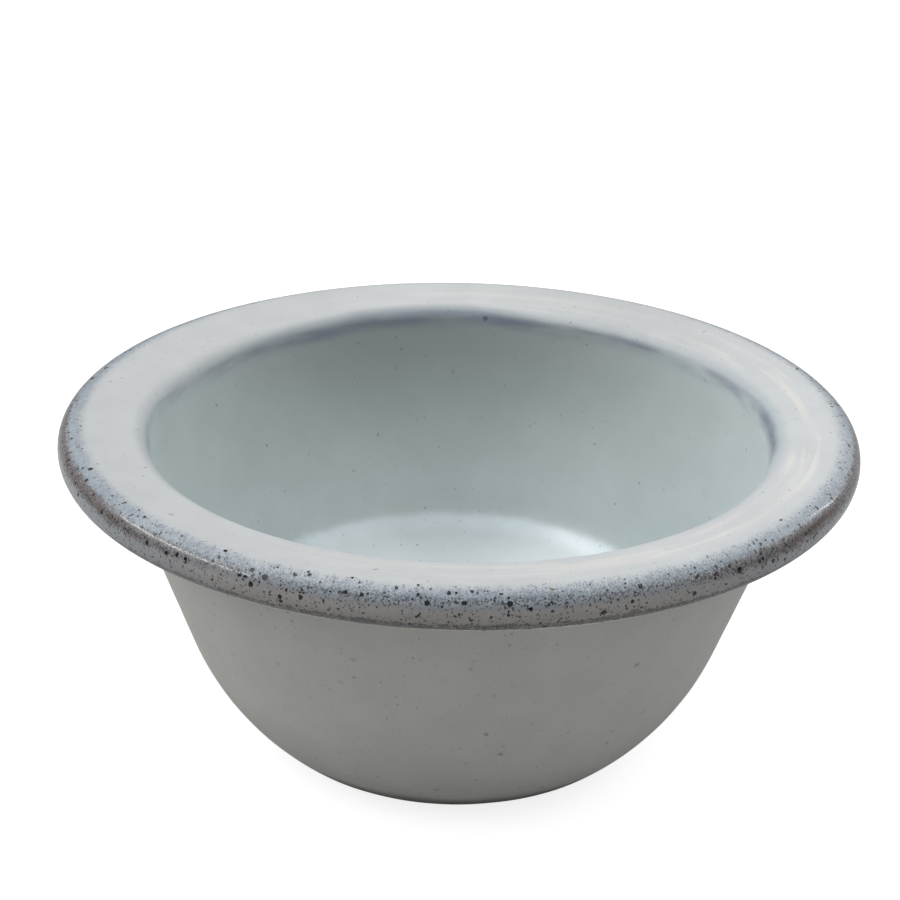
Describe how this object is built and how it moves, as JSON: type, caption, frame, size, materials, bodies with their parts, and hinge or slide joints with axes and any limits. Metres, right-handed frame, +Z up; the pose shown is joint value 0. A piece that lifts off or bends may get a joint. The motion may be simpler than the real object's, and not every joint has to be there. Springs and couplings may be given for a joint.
{
  "type": "prep bowl",
  "caption": "Round stoneware prep bowl with a broad rolled rim, a flared wall over a full belly, a flat floor and a bare turned foot ring, glazed inside and out.",
  "frame": {"origin": "centre of the foot, on the surface that the bowl stands on", "axes": "+Z up along the axis that the bowl was turned on; X and Y are alike, because the bowl is round"},
  "size_m": [0.15, 0.15, 0.066],
  "materials": {
    "bare_clay": "bare fired iron-bearing stoneware, dry and slightly gritty",
    "liner_glaze": "glossy pale grey-green glaze with a few soft specks",
    "rim_glaze": "glossy pale blue-grey glaze that breaks to mauve brown with iron specks on the rolled edge",
    "outside_glaze": "satin warm grey glaze with soft brown specks"
  },
  "bodies": {
    "root": {"stoneware_body": "bare_clay", "inside_glaze": "liner_glaze", "rim_glaze": "rim_glaze", "outside_glaze": "outside_glaze", "base_glaze": "outside_glaze"}
  },
  "joints": []
}
